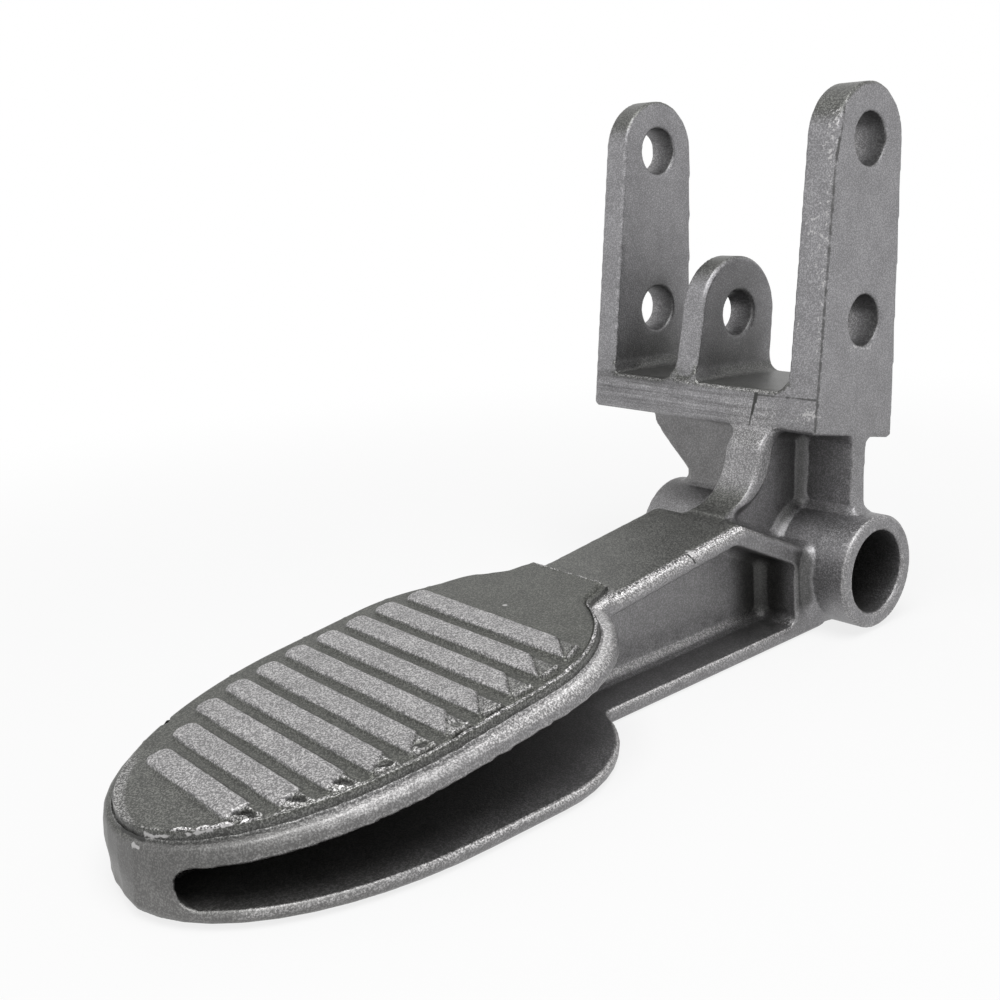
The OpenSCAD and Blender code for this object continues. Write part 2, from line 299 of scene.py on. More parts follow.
# soft zones on the casting: for each measure, the values between which the zone fades in or out
zones = {
    # rubbed bright, with painted highlights on the rim, the arm's edges and the hollow corner
    "rim": {"nz": ((0.2, 0.9),), "level": ((-9, -6),)},
    "band": {"nz": ((0.05, 0.6), (0.985, 0.9))},
    "armEdge": {"y": ((-80, -76), (-24, -34)), "x": ((7, 10),), "level": ((-6, -4),)},
    "lowEdge": {"y": ((-160, -125), (-16, -24)), "x": ((7, 10),), "z": ((-6, -9),)},
    "rib": {"y": ((-34, -30), (-14, -18)), "x": ((9, 11),), "z": ((22, 16),)},
    "lip": {"z": ((41.8, 42.6), (45, 44)), "y": ((-11, -13),)},
    "neckFront": {"z": ((20, 25), (44, 38)), "y": ((-11, -15),), "fromMiddle": ((9, 7),)},
    "tubeEnd": {"x": ((20, 23),), "edge": ((0.2, 0.7),), "z": ((20, 14),)},
    "hollow": {"x": ((1, 2), (6, 4.5)), "y": ((-84, -80),), "z": ((-4, -6),)},
    # without dark skin and its painted dark reflection
    "bareRim": {"level": ((-4, -2),), "y": ((-76, -82),), "x": ((0, 8),)},
    "bareUnder": {"level": ((-4, -8),), "y": ((-10, -20),)},
    "bareTube": {"y": ((-18, -14),), "z": ((18, 15),)},
    "forkSkin": {"z": ((41, 42.5), (50, 46))},
    # in painted shade
    "fork": {"z": ((40, 46),)},
    "pocket": {"x": ((11, 8), (1, 2)), "y": ((-29, -22), (-14, -16)), "z": ((10, 6), (-11, -9))},
    "neckCorner": {"y": ((-12, -8), (3, 0)), "z": ((7, 10), (35, 33))},
    "armEnd": {
        "x": ((12.6, 13.2), (16, 14.8)), "y": ((-18, -16.5), (-12.5, -13.5)), "z": ((-9, -6), (9, 6)),
    },
    "forkFloor": {"z": ((44.6, 43.8), (42.4, 42.9)), "x": ((-20, -27),)},
    "toeRim": {"y": ((-150, -162),), "level": ((-9, -6),)},
    "pivot": {"fromAxis": ((10.4, 10),), "x": ((24, 21),)},
    # painted shade on the blasted metal: lighter on the tube, darker on the back web
    "paleTube": {"y": ((-16, -12),), "z": ((24, 16),), "x": ((2, 6),)},
    "backWeb": {"x": ((-4, -8),), "z": ((36, 32), (10, 16))},
}

# strengths of the zones, and the ramps that are shared
paint = {
    "rimTail": (-72, -78), "rimToe": (-176, -150), "rimHeel": (-135, -106), "rimSide": (-14, 4),
    "rimMiddleShare": 0.5, "rimHeelShare": 0.8, "rimFarShare": 0.35,
    "bandBase": 0.65, "bandPeak": 0.65, "bandBell": (0.74, 0.17), "hollowBell": (0.5, 0.25),
    "edges": {"armEdge": 1, "lowEdge": 1, "rib": 0.3, "lip": 0.35},
    "ends": {"neckFront": 0.4, "tubeEnd": 0.5}, "hollow": 0.6, "edge": 0.12,
    "skin": 0.88, "bare": {"bareRim": 0.95, "bareUnder": 0.8, "bareTube": 0.9}, "forkSkin": 0.62,
    # least slope that still holds skin and its painted dark reflection:
    # between two heights, else the usual one
    "upFrom": 0.5, "upSpan": 0.4, "steep": ((42, 48, 0.1), (95, 200, 0.2)), "skinSky": (0.3, 0.75),
    "plainSky": 2, "forkSky": (0.22, 0.92), "cornerBell": (3.6, 1.3), "neckCorner": 0.8,
    "shade": {"pocket": 0.97, "armEnd": 0.75, "forkFloor": 0.4, "toeRim": 0.2, "pivot": 0.5},
    "boreRadius": (6.4, 6), "boreFacing": (0.75, 0.5), "boreSlack": 0.2, "boreDeepest": 8.6,
    "boreDepth": (0.1, 1), "boreTop": 0.35, "boreHeight": (5, -1), "boreDark": 0.3, "boreSheen": 0.5,
    "lowShade": 0.62, "shadeHeight": (0, 65), "shadeShift": {"paleTube": 0.16, "backWeb": -0.3},
    "toeShade": 0.2, "toeFade": (-185, -110),
}


def zone(name, where, table=zones):
    mask = 1.0
    for measure, ramps in table[name].items():
        for low, high in ramps:
            mask = mask * ease(low, high, where[measure])
    return mask


# sum of zones, each times its strength
def zoneSum(strengths, where):
    return sum(strength * zone(name, where) for name, strength in strengths.items())


# what is left where zones take away their strengths
def zoneLeft(strengths, where):
    left = 1.0
    for name, strength in strengths.items():
        left = left * (1 - strength * zone(name, where))
    return left


def bell(value, middle, width):
    return np.exp(-((value - middle) / width) ** 2)


# ramp from a least share up to one
def fromShare(least, ramp, value):
    return least + (1 - least) * ease(*ramp, value)


# the pad's rim is brightest beside the heel, dull at the toe and dimmer on the far side:
# wear with a painted highlight
def rimShare(x, y):
    p = paint
    along = p["rimMiddleShare"] * ease(*p["rimToe"], y) + p["rimHeelShare"] * ease(*p["rimHeel"], y)
    return ease(*p["rimTail"], y) * along * fromShare(p["rimFarShare"], p["rimSide"], x)


# where the metal is rubbed bright, with highlights painted by the slope of the faces:
# the rim of the pad, the arm's near edges, the neck, the tube's end and the hollow corner
def wearAndSheenOf(where):
    p = paint
    rim = zone("rim", where) * rimShare(where["x"], where["y"])
    band = zone("band", where) * (p["bandBase"] + p["bandPeak"] * bell(where["nz"], *p["bandBell"]))
    edges, ends = zoneSum(p["edges"], where), zoneSum(p["ends"], where)
    # painted highlight in the hollow corner between the arm's web and its flange, as if it catches the light
    hollow = p["hollow"] * zone("hollow", where) * bell(where["nz"], *p["hollowBell"])
    return np.maximum.reduce([rim, band * np.clip(edges, 0, 1), ends, hollow, p["edge"] * where["edge"]])


# dark smooth skin on what faces up, with a painted dark reflection there,
# not in deep recesses or on the pad's rim
def skinOf(where):
    p = paint
    z = where["z"]
    low = np.full(len(z), p["upFrom"])
    for bottom, top, slope in p["steep"]:
        low[(z > bottom) & (z < top)] = slope
    lit = np.maximum(where["sky"], p["forkSkin"] * zone("forkSkin", where))
    skin = p["skin"] * ease(low, low + p["upSpan"], where["nz"]) * ease(*p["skinSky"], lit)
    return skin * zoneLeft(p["bare"], where)


# painted shade by how open a place is:
# the fork, the pocket beside the tube and some corners get deeper painted shade
def opennessOf(where):
    p = paint
    plain = np.clip(p["plainSky"] * where["sky"], 0, 1)
    openness = plain + (ease(*p["forkSky"], where["sky"]) - plain) * zone("fork", where)
    corner = p["neckCorner"] * zone("neckCorner", where) * bell(where["x"], *p["cornerBell"])
    return openness * zoneLeft(p["shade"], where) * (1 - corner)


# painted light in the bores, as if it reaches them from their inner ends:
# which points are bore, and how bright
def boreLight(where):
    p = paint
    x = where["x"]
    wall, light = np.zeros(len(x)), np.zeros(len(x))
    facing = ease(*p["boreFacing"], where["nx"])
    for low, high, by, bz, *_ in casting["bores"]:
        dy, dz = where["y"] - by, where["z"] - bz
        inBore = ease(*p["boreRadius"], np.hypot(dy, dz)) * facing
        inBore = inBore * (x > low - p["boreSlack"]) * (x < high + p["boreSlack"])
        depth = (high - x) / min(high - low, p["boreDeepest"])
        wall = np.maximum(wall, inBore)
        lit = ease(*p["boreDepth"], depth) * fromShare(p["boreTop"], p["boreHeight"], dz)
        light = np.maximum(light, inBore * lit)
    return wall, light


# painted shade: darker low down and darkest at the toe, lightest on the ears
def shadeOf(where):
    p = paint
    shade = fromShare(p["lowShade"], p["shadeHeight"], where["z"]) + zoneSum(p["shadeShift"], where)
    return shade * fromShare(p["toeShade"], p["toeFade"], where["y"])


def paintCasting(piece, edge):
    c, p = casting, paint
    sky = spreadOut(piece, seenSky(piece, c["skyRays"], c["skyReach"] * mm), c["skySpread"])
    x, y, z = points(piece).T / mm
    no = normals(piece)
    where = {
        "x": x, "y": y, "z": z, "level": levelOf(y, z),
        "fromMiddle": np.abs(x), "fromAxis": np.hypot(y, z),
        "nx": np.abs(no[:, 0]), "nz": no[:, 2], "edge": edge, "sky": sky,
    }
    wall, light = boreLight(where)
    # painted shade, with painted light in the bores
    openness = opennessOf(where) * (1 - wall) + wall * (p["boreDark"] + (1 - p["boreDark"]) * light)
    # wear with painted highlights, and painted light in the bores
    wearAndSheen = np.maximum(wearAndSheenOf(where), p["boreSheen"] * light)
    paintMap(piece, openness, wearAndSheen, skinOf(where) * (1 - wall), shadeOf(where))


# remeshed points that lie close to a CAD face go back onto it
def flatten(piece, planes):
    c = casting
    co = points(piece)
    near = np.array([planes.find_nearest(p)[0] for p in co])
    gap = np.linalg.norm(near - co, axis=1) / mm
    movePoints(piece, co + (near - co) * ease(c["flatFar"], c["flatNear"], gap)[:, None])


def makeCasting():
    c = casting
    piece = copyNodes("casting", c["nodes"])
    planes = treeOf(piece)
    # swell and shrink: hollow corners keep a fillet
    for swell in (c["fillet"], -c["fillet"]):
        modify(piece, "REMESH", mode="VOXEL", voxel_size=c["coarse"] * mm)
        modify(piece, "SMOOTH", factor=c["smooth"], iterations=c["settle"])
        modify(piece, "DISPLACE", direction="NORMAL", strength=swell * mm, mid_level=0)
    modify(piece, "REMESH", mode="VOXEL", voxel_size=c["fine"] * mm)
    modify(piece, "SMOOTH", factor=c["smooth"], iterations=c["soften"])
    flatten(piece, planes)
    drawCasting(piece)
    print("casting remeshed,", len(piece.data.vertices), "points")
    # edges: how far each point stands out of its smoothed neighbourhood
    activate(piece)
    bpy.ops.object.duplicate()
    soft = bpy.context.object
    modify(soft, "SMOOTH", factor=c["smooth"], iterations=c["edgeReach"])
    dense = points(piece)
    standOut = ((dense - points(soft)) * normals(soft)).sum(1) / (c["edgeDepth"] * mm)
    bpy.data.objects.remove(soft)
    modify(piece, "DECIMATE", ratio=c["triangles"] / (2 * len(piece.data.polygons)))
    tree = KDTree(len(dense))
    for i, p in enumerate(dense):
        tree.insert(p, i)
    tree.balance()
    paintCasting(piece, standOut[[tree.find(p)[1] for p in points(piece)]])
    activate(piece)
    bpy.ops.object.shade_smooth()
    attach(piece, "root")
    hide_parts(*c["nodes"])
    print("casting finished,", len(piece.data.polygons), "faces")
    return piece


castPiece = makeCasting()

# the tread: a raised panel with ten bars, formed by its own die insert
tread = {
    "height": 1.6, "halfWidth": 30.5, "tip": -180.9, "taper": 50, "skew": 1, "heel": -111.43, "hollow": 6,
    "back": -75, "tailLeft": 13, "tailRight": 10.8, "tailDraw": 0.36,
    "tailFrom": (-90, -84), "tailTight": 0.75, "tailSink": 0.55,
    # grid: rows lie closer at the toe, columns on the near side
    "rows": 0.3, "toeReach": 4, "toeRows": 30, "columns": 140, "nearColumns": 72, "nearShare": 0.74,
    "slantStep": 0.02, "tipGuard": 0.3, "tipSlant": 40.0, "smoothAngle": 60,
    "barFirst": -100.29, "barPitch": 7.5, "barSkew": 0.0125,
    "barHalf": 2.58, "barHeight": 0.95, "barSide": 0.5, "barRound": 2.0,
    "farEnds": (-24.8, -26.2, -26.5, -26.4, -26.7, -25.6, -24.6, -22.8, -17.8, -13.5),
    "nearInset": (2.4, 2.4, 1.7, 1.5, 1.5, 1.4, 1.1, 1, 0.9, 1.1),
    "notch": (5.5, 7.5, 7.5, 7, 6.5, 5.5, 4.5, 4, 4, 4),
    "hookWidth": 0.45, "hookShort": 0.4, "hookSide": (0.3, -0.25), "hookRagged": 0.5, "hookShare": 0.95,
    "rampInset": 0.5, "rampSide": (0.6, -0.6), "rampShare": 0.92,
    "pitDepth": (0, 0.03, 0.06, 0.12, 0.25, 0.5, 0.8, 1, 1.1, 1.1),
    "pitPlace": (0.8, 0.5), "pitSize": (1.9, 1.6), "pitLean": 0.3, "pitRim": (1, 0.4),
    "ridgeRise": 0.28, "ridgeLeast": 0.5, "flashRise": 0.3, "tear": (-0.25, 0.3),
    "ridgeWorn": (0.7, 0.4), "moat": 0.22, "farFall": 0.2,
    "backRise": 0.15, "backTear": (-0.3, 0.1), "backWorn": 0.6,
    "nickPlace": -160.2, "nickSize": (0.9, 1.1), "nickRim": (1.3, 0.4), "nickDepth": 0.9,
    # random unevenness: strength, size of the lumps and seed
    "ragged": (0.1, 1.1, 3), "pitRagged": (0.35, 0.9, 40), "topLumps": (0.05, 0.7, 60),
    "coarseTear": (1, 1.6, 7), "fineTear": (0.5, 0.6, 8),
    "backLumps": (1, 1.4, 11), "skirtLumps": (0.7, 1.3, 21),
    # rings round the panel: reach, height, painted shade, painted shade lost beside the bright rim,
    # wear and painted highlight, wear and painted highlight beside the bright rim, skin lost there
    "skirt": (
        (0.08, 1.15, 0, 0, 0, 0.15, 0),
        (0.18, 0.5, 1, 0.3, 0, 0.15, 0),
        (0.32, 0.3, 1, 0.3, 0, 0.15, 0),
        (0.55, 0.42, 0, 0, 0.35, 0.25, 0.7),
        (0.78, 0.15, 0.7, 0.7, 0, 0.85, 0.7),
        (1.1, -0.7, 0.7, 0.7, 0, 0.85, 0.7),
    ),
    "backReach": 0.3,
}

# soft zones on the tread, by the gaps to its edges
treadZones = {
    "ridge": {"rightGap": ((-0.07, 0.2), (1.1, 0.8)), "y": ((-80, -86),)},
    "flash": {"y": ((-163, -170), (-178.8, -177.6))},
    "farEdge": {"leftGap": ((0.45, 0),)},
    "moat": {"rightGap": ((1.5, 1.2), (0.95, 1.15))},
    "tailSide": {"rightGap": ((2.5, 0.2),), "y": ((-92, -86),)},
    "backLine": {"backGap": ((0.7, 0.2),)},
    "toeBand": {"farGap": ((3.4, 1.6),), "y": ((-166, -173),), "x": ((6, 2),)},
}

# how bright or dark the parts of the tread are
treadPaint = {
    "top": (0.45, 0.95), "topShade": 0.08,
    "sunk": (0.05, 0.4), "sunkReach": 12, "sunkBar": (0.2, 0.6), "sunkShade": 0.35,
    "pitEdge": (0.1, 0.35), "pitFloor": (0.1, 0.6), "pitShade": 0.9, "nickShade": 0.95,
    "hook": 0.6, "ramp": 0.3, "rampToe": 0.25, "rampAlong": (-108, -130),
    "ridge": 0.9, "ridgeToe": 0.45, "ridgeAlong": (-120, -145),
    "toe": 0.15, "toeAlong": (-160, -172), "toeBand": 0.45,
    "skirtShade": 0.75, "skirtSkin": 0.8,
}


# smooth random heights on a lattice, the same every run
def lumpy(x, y, strength, size, seed):
    cells = 97
    table = np.random.RandomState(seed).rand(cells, cells)
    u, v = x / size, y / size
    i, j = np.floor(u).astype(int), np.floor(v).astype(int)
    s, t = ease(0, 1, u - i), ease(0, 1, v - j)
    i, j, iNext, jNext = i % cells, j % cells, (i + 1) % cells, (j + 1) % cells
    low = table[i, j] * (1 - s) + table[iNext, j] * s
    high = table[i, jNext] * (1 - s) + table[iNext, jNext] * s
    return strength * (low * (1 - t) + high * t - 0.5)


# right or left edge of the panel at a place along it
def treadEdge(y, side):
    c = tread
    w, r = c["halfWidth"], c["hollow"]
    tail = c["tailRight"] if side > 0 else c["tailLeft"]
    toeShare = np.clip((c["tip"] + c["taper"] - y) / c["taper"], 0, 1)
    toe = w * np.sqrt(1 - toeShare ** 2)
    heelRound = np.sqrt(np.maximum(w * w - (y - c["heel"]) ** 2, 0))
    middle = c["heel"] + math.sqrt((w + r) ** 2 - (tail + r) ** 2)
    touch = c["heel"] + (middle - c["heel"]) * w / (w + r)
    bend = tail + r - np.sqrt(np.maximum(r * r - (y - middle) ** 2, 0))
    tailEdge = tail - c["tailDraw"] * np.maximum(y - middle, 0) * (side > 0)
    half = np.where(y < c["heel"], toe, np.where(y < touch, heelRound, np.where(y < middle, bend, tailEdge)))
    if side < 0:
        half = half + shoulderOut(y)
    return side * half + c["skew"] * toeShare ** 2


# sideways run of an edge of the panel towards the toe
def edgeSlant(y, side):
    step = tread["slantStep"]
    return (treadEdge(y - step, side) - treadEdge(y + step, side)) / (2 * step)


# bars, hooked ridges, slants and pits at the places of the panel
def treadBars(x, y, rightGap):
    c = tread
    bar, hook, ramp, pit = (np.zeros(x.shape) for _ in range(4))
    half, side, r, thin = c["barHalf"], c["barSide"], c["barRound"], c["hookWidth"]
    strength, size, seed = c["ragged"]
    pitStrength, pitLump, pitSeed = c["pitRagged"]
    bars = zip(c["farEnds"], c["nearInset"], c["notch"], c["pitDepth"])
    for k, (farEnd, inset, notch, depth) in enumerate(bars):
        dy = y - (c["barFirst"] - k * c["barPitch"]) + c["barSkew"] * x
        qx, qy = farEnd + r - x, np.abs(dy) - (half - r)
        inside = np.hypot(np.maximum(qx, 0), np.maximum(qy, 0)) + np.minimum(np.maximum(qx, qy), 0) - r
        ragged = lumpy(x, y, strength, size, seed + k)
        # the near end is cut off slantwise on the heel side, and a thin ridge hooks round it
        u = rightGap - inset - 2 * thin
        share = (dy + half) / (2 * half)
        slant = (notch * share - u) / math.hypot(1, notch / (2 * half))
        outside = np.maximum(inside, np.maximum(slant, inset - rightGap))
        bar = np.maximum(bar, ease(side, -side, outside + ragged))
        ridge = np.maximum(np.abs(rightGap - inset - thin) - thin, np.abs(dy) - half + c["hookShort"])
        hook = np.maximum(hook, ease(*c["hookSide"], ridge + c["hookRagged"] * ragged))
        floor = np.maximum(np.maximum(inside + c["rampInset"], -slant), -u)
        ramp = np.maximum(ramp, ease(*c["rampSide"], floor))
        # pit under the slant
        px, py = u - c["pitPlace"][0], dy - c["pitPlace"][1]
        scoop = np.hypot((px + c["pitLean"] * py) / c["pitSize"][0], py / c["pitSize"][1])
        scoop = scoop + lumpy(x, y, pitStrength, pitLump, pitSeed + k)
        pit = np.maximum(pit, depth * ease(*c["pitRim"], scoop))
    return bar, hook, ramp, pit


def treadRelief(x, y):
    c = tread
    rightGap, leftGap = treadEdge(y, 1) - x, x - treadEdge(y, -1)
    where = {"y": y, "rightGap": rightGap, "leftGap": leftGap, "backGap": c["back"] - y}

    def within(name):
        return zone(name, where, treadZones)

    bar, hook, ramp, pit = treadBars(x, y, rightGap)
    rise = np.maximum(bar, np.maximum(c["hookShare"] * hook, c["rampShare"] * ramp))
    height = c["height"] + rise * c["barHeight"] + bar * lumpy(x, y, *c["topLumps"]) - pit
    # raised ridge along the near edge, with torn flash at the toe
    edge = within("ridge")
    tear = ease(*c["tear"], lumpy(y, x, *c["coarseTear"]) + lumpy(y, x, *c["fineTear"]))
    flash = edge * within("flash") * tear
    height += edge * c["ridgeRise"] * (c["ridgeLeast"] + tear) + c["flashRise"] * flash
    height -= c["farFall"] * within("farEdge") + c["moat"] * within("moat")
    height -= c["tailSink"] * within("tailSide")
    # faint line across the tail's end, one nick at the far edge
    backLine = within("backLine") * ease(*c["backTear"], lumpy(x, y, *c["backLumps"]))
    height += c["backRise"] * backLine
    nickAway = np.hypot(leftGap / c["nickSize"][0], (y - c["nickPlace"]) / c["nickSize"][1])
    nick = ease(*c["nickRim"], nickAway)
    height -= c["nickDepth"] * nick
    plainWorn, tornWorn = c["ridgeWorn"]
    line = np.maximum(edge * (plainWorn + tornWorn * tear), c["backWorn"] * backLine)
    return {
        "height": height, "bar": bar, "ramp": ramp, "hook": hook, "pit": pit,
        "line": line, "flash": flash, "nick": nick,
    }


# flat grid of the panel: for every point its place along and across, its side and its skirt rings
def treadGrid():
    c = tread
    near = np.arange(c["back"], c["tip"] + c["toeReach"], -c["rows"])
    toe = c["tip"] + c["toeReach"] * np.linspace(1, 0, c["toeRows"])[1:] ** 2
    rows = np.concatenate([near, toe])
    farShares = np.linspace(-1, c["nearShare"], c["columns"])
    shares = np.concatenate([farShares, np.linspace(c["nearShare"], 1, c["nearColumns"])[1:]])
    k = len(c["skirt"])
    lastRow, lastCol, last = len(rows) + k - 1, len(shares) + 2 * k - 1, len(shares) - 1
    bpy.ops.mesh.primitive_grid_add(x_subdivisions=lastCol, y_subdivisions=lastRow, size=1)
    piece = bpy.context.object
    piece.name = piece.data.name = "treadPanel"
    start = points(piece)
    # rows run from the tail to the toe, skirt rows and columns hang outside
    col = np.rint((start[:, 0] + 0.5) * lastCol).astype(int) - k
    row = lastRow - np.rint((start[:, 1] + 0.5) * lastRow).astype(int) - k
    side = np.where(col < 0, -1, np.where(col > last, 1, 0))
    sideRing, backRing = np.maximum(np.maximum(-col, col - last), 0), np.maximum(-row, 0)
    return piece, rows[np.maximum(row, 0)], shares[np.clip(col, 0, last)], side, sideRing, backRing


# rings of the skirt, the panel itself is ring nought
def skirtRings():
    rings = np.array(tread["skirt"])
    return np.vstack([np.zeros(rings.shape[1]), rings])


# bars are rubbed bright on top; their feet, the pits, the nick and the far skirt get painted shade
def paintTread(piece, relief, where, nearRim, ring):
    t = treadPaint
    y, height, bar, pit = where["y"], relief["height"], relief["bar"], relief["pit"]
    onPanel = ring == 0
    top = ease(*t["top"], bar)
    sunk = ease(*t["sunk"], spreadOut(piece, height, t["sunkReach"]) - height)
    sunk = sunk * (1 - ease(*t["sunkBar"], bar))
    shallow = 1 - ease(*t["pitEdge"], pit)
    bright = np.maximum.reduce([
        top * shallow,
        t["hook"] * relief["hook"] * shallow,
        relief["ramp"] * shallow * (t["ramp"] + t["rampToe"] * ease(*t["rampAlong"], y)),
        (t["ridge"] - t["ridgeToe"] * ease(*t["ridgeAlong"], y)) * relief["line"] + relief["flash"],
        t["toe"] * ease(*t["toeAlong"], y),
        t["toeBand"] * zone("toeBand", where, treadZones),
    ])
    dark = t["topShade"] * top + t["pitShade"] * ease(*t["pitFloor"], pit)
    dark = dark + t["nickShade"] * relief["nick"] + t["sunkShade"] * sunk
    # the near side's skirt runs into the bright rim's wear and painted highlight
    shade, shadeLost, wearAndSheen, rimWearSheen, skinLost = skirtRings()[ring, 2:].T
    paintMap(
        piece,
        1 - np.where(onPanel, dark, t["skirtShade"] * (shade - shadeLost * nearRim)),
        np.where(onPanel, bright, wearAndSheen * ease(*tread["tailFrom"][::-1], y) + rimWearSheen * nearRim),
        np.where(onPanel, 1 - top, t["skirtSkin"] - skinLost * nearRim),
        np.ones(len(y)),
    )


def makeTread():
    c = tread
    piece, y, share, side, sideRing, backRing = treadGrid()
    left, right = treadEdge(y, -1), treadEdge(y, 1)
    x = (left + right) / 2 + (right - left) / 2 * share
    relief = treadRelief(x, y)
    # the skirt leaves the panel at right angles to its edge
    leftSlant = edgeSlant(y, -1)
    slant = np.where(side < 0, leftSlant, edgeSlant(y, 1))
    slant = np.where(y < c["tip"] + c["tipGuard"], -side * c["tipSlant"], slant)
    atTip = y < c["tip"] + c["slantStep"]
    outX = np.where(atTip, 0.0, side / np.hypot(1, slant))
    outY = np.where(atTip, -1.0, side * slant / np.hypot(1, slant))
    reach, drops = skirtRings()[:, :2].T
    onTail = ease(*c["tailFrom"], y)
    tight = 1 - c["tailTight"] * onTail
    ring = np.maximum(sideRing, backRing)
    px = x + outX * reach[sideRing] * tight
    py = y + outY * reach[sideRing] * tight + c["backReach"] * reach[backRing]
    uneven = 1 + lumpy(py, px, *c["skirtLumps"])
    drop = drops[ring] * np.where(drops[ring] > 0, uneven, 1)
    plainDrop = c["height"] - (c["height"] - drops[-1]) * ring / len(c["skirt"])
    drop = drop + (plainDrop - drop) * onTail
    pz = np.where(ring > 0, drop, relief["height"])
    a = math.radians(casting["padSlope"])
    along, up = py * math.cos(a) - pz * math.sin(a), py * math.sin(a) + pz * math.cos(a)
    movePoints(piece, np.stack([px, along, casting["padTop"] + up], 1) * mm)
    nearRim = rimShare(px, py) * ease(*c["tailFrom"][::-1], y) * (side > 0)
    where = {"x": x, "y": y, "farGap": (x - left) / np.hypot(1, leftSlant)}
    paintTread(piece, relief, where, nearRim, ring)
    editAll(piece, mergeDoubles)
    # close the underside
    activate(piece)
    bpy.ops.object.mode_set(mode="EDIT")
    bpy.ops.mesh.select_all(action="DESELECT")
    bpy.ops.mesh.select_non_manifold(
        extend=False, use_wire=False, use_multi_face=False, use_non_contiguous=False, use_verts=False)
    bpy.ops.mesh.edge_face_add()
    bpy.ops.mesh.select_all(action="SELECT")
    bpy.ops.mesh.normals_make_consistent(inside=False)
    bpy.ops.object.mode_set(mode="OBJECT")
    bpy.ops.object.shade_smooth_by_angle(angle=math.radians(c["smoothAngle"]))
    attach(piece, "root")
    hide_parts("tread_panel")
    print("tread finished,", len(piece.data.polygons), "faces")
    return piece


def newMaterial(name):
    made = bpy.data.materials.new(name)
    made.use_nodes = True
    made.node_tree.nodes.clear()
    return made


def addNode(tree, kind, **values):
    node = tree.nodes.new(kind)
    for name, value in values.items():
        if name in node.inputs:
            node.inputs[name].default_value = value
        else:
            setattr(node, name, value)
    return node


def feed(tree, socket, value):
    if value is None:
        return
    if isinstance(value, (int, float, tuple)):
        socket.default_value = value
    else:
        tree.links.new(value, socket)


def addMath(tree, operation, a, b=None, clamp=False):
    node = addNode(tree, "ShaderNodeMath", operation=operation, use_clamp=clamp)
    feed(tree, node.inputs[0], a)
    feed(tree, node.inputs[1], b)
    return node.outputs[0]


# a value times a factor, plus a number
def scaleAdd(tree, value, factor, plus):
    return addMath(tree, "ADD", addMath(tree, "MULTIPLY", value, factor), plus)


def addVector(tree, operation, a, b=None, output="Vector"):
    node = addNode(tree, "ShaderNodeVectorMath", operation=operation)
    feed(tree, node.inputs[0], a)
    feed(tree, node.inputs["Scale" if operation == "SCALE" else 1], b)
    return node.outputs[output]


def mixColour(tree, factor, a, b):
    node = addNode(tree, "ShaderNodeMix", data_type="RGBA")
    for socket, value in ((node.inputs[0], factor), (node.inputs[6], a), (node.inputs[7], b)):
        feed(tree, socket, value + (1,) if isinstance(value, tuple) else value)
    return node.outputs[2]


def spread(tree, value, low, high, toLow=0, toHigh=1):
    node = addNode(tree, "ShaderNodeMapRange", interpolation_type="SMOOTHSTEP")
    names = ("Value", "From Min", "From Max", "To Min", "To Max")
    for name, number in zip(names, (value, low, high, toLow, toHigh)):
        feed(tree, node.inputs[name], number)
    return node.outputs["Result"]


def newGroup(name, inputs, outputs):
    tree = bpy.data.node_groups.new(name, "ShaderNodeTree")
    for label, kind, value in inputs:
        tree.interface.new_socket(label, in_out="INPUT", socket_type=kind).default_value = value
    for label in outputs:
        tree.interface.new_socket(label, in_out="OUTPUT", socket_type="NodeSocketFloat")
    return tree, tree.nodes.new("NodeGroupInput").outputs, tree.nodes.new("NodeGroupOutput").inputs


grainLook = {
    "size": 0.34, "detail": 2, "rough": 0.6, "cells": 1.3, "cellShare": 0.45,
    "lumpSpan": (0.3, 0.7), "lumpShare": 0.55,
    "mottleScale": 160, "mottleDetail": 3, "mottleRough": 0.55,
}


# grain of blasted metal: lumps for the bump, specks and mottle for the tone
def grainGroup():
    g = grainLook
    inputs = (("Grain size", "NodeSocketFloat", g["size"]),)
    tree, given, out = newGroup("castGrain", inputs, ("Lumps", "Specks", "Mottle"))
    spot = tree.nodes.new("ShaderNodeTexCoord").outputs["Object"]
    scale = addMath(tree, "DIVIDE", 1 / mm, given["Grain size"])
    lumps = addNode(tree, "ShaderNodeTexNoise", Detail=g["detail"], Roughness=g["rough"])
    specks = addNode(tree, "ShaderNodeTexVoronoi")
    mottle = addNode(
        tree, "ShaderNodeTexNoise",
        Scale=g["mottleScale"], Detail=g["mottleDetail"], Roughness=g["mottleRough"])
    for node in (lumps, specks, mottle):
        tree.links.new(spot, node.inputs["Vector"])
    tree.links.new(scale, lumps.inputs["Scale"])
    tree.links.new(addMath(tree, "MULTIPLY", scale, g["cells"]), specks.inputs["Scale"])
    tone = addNode(tree, "ShaderNodeSeparateColor")
    tree.links.new(specks.outputs["Color"], tone.inputs["Color"])
    # specks: random cells carried by the lumps, about a quarter to three quarters
    carried = addMath(tree, "MULTIPLY", spread(tree, lumps.outputs["Fac"], *g["lumpSpan"]), g["lumpShare"])
    both = scaleAdd(tree, tone.outputs["Red"], g["cellShare"], carried)
    tree.links.new(lumps.outputs["Fac"], out["Lumps"])
    tree.links.new(both, out["Specks"])
    tree.links.new(mottle.outputs["Fac"], out["Mottle"])
    return tree


# inputs of a mark, in the order of the rows of marks below
markInputs = (
    ("Start", "NodeSocketVector", (0, 0, 0)), ("End", "NodeSocketVector", (0, 0, 0)),
    ("Width", "NodeSocketFloat", 0.3), ("Ragged", "NodeSocketFloat", 1.0),
    ("Crumb", "NodeSocketFloat", 0.4), ("Sparse", "NodeSocketFloat", 0.0),
)
markLook = {"detail": 2, "rough": 0.6, "border": (1, 0.45)}


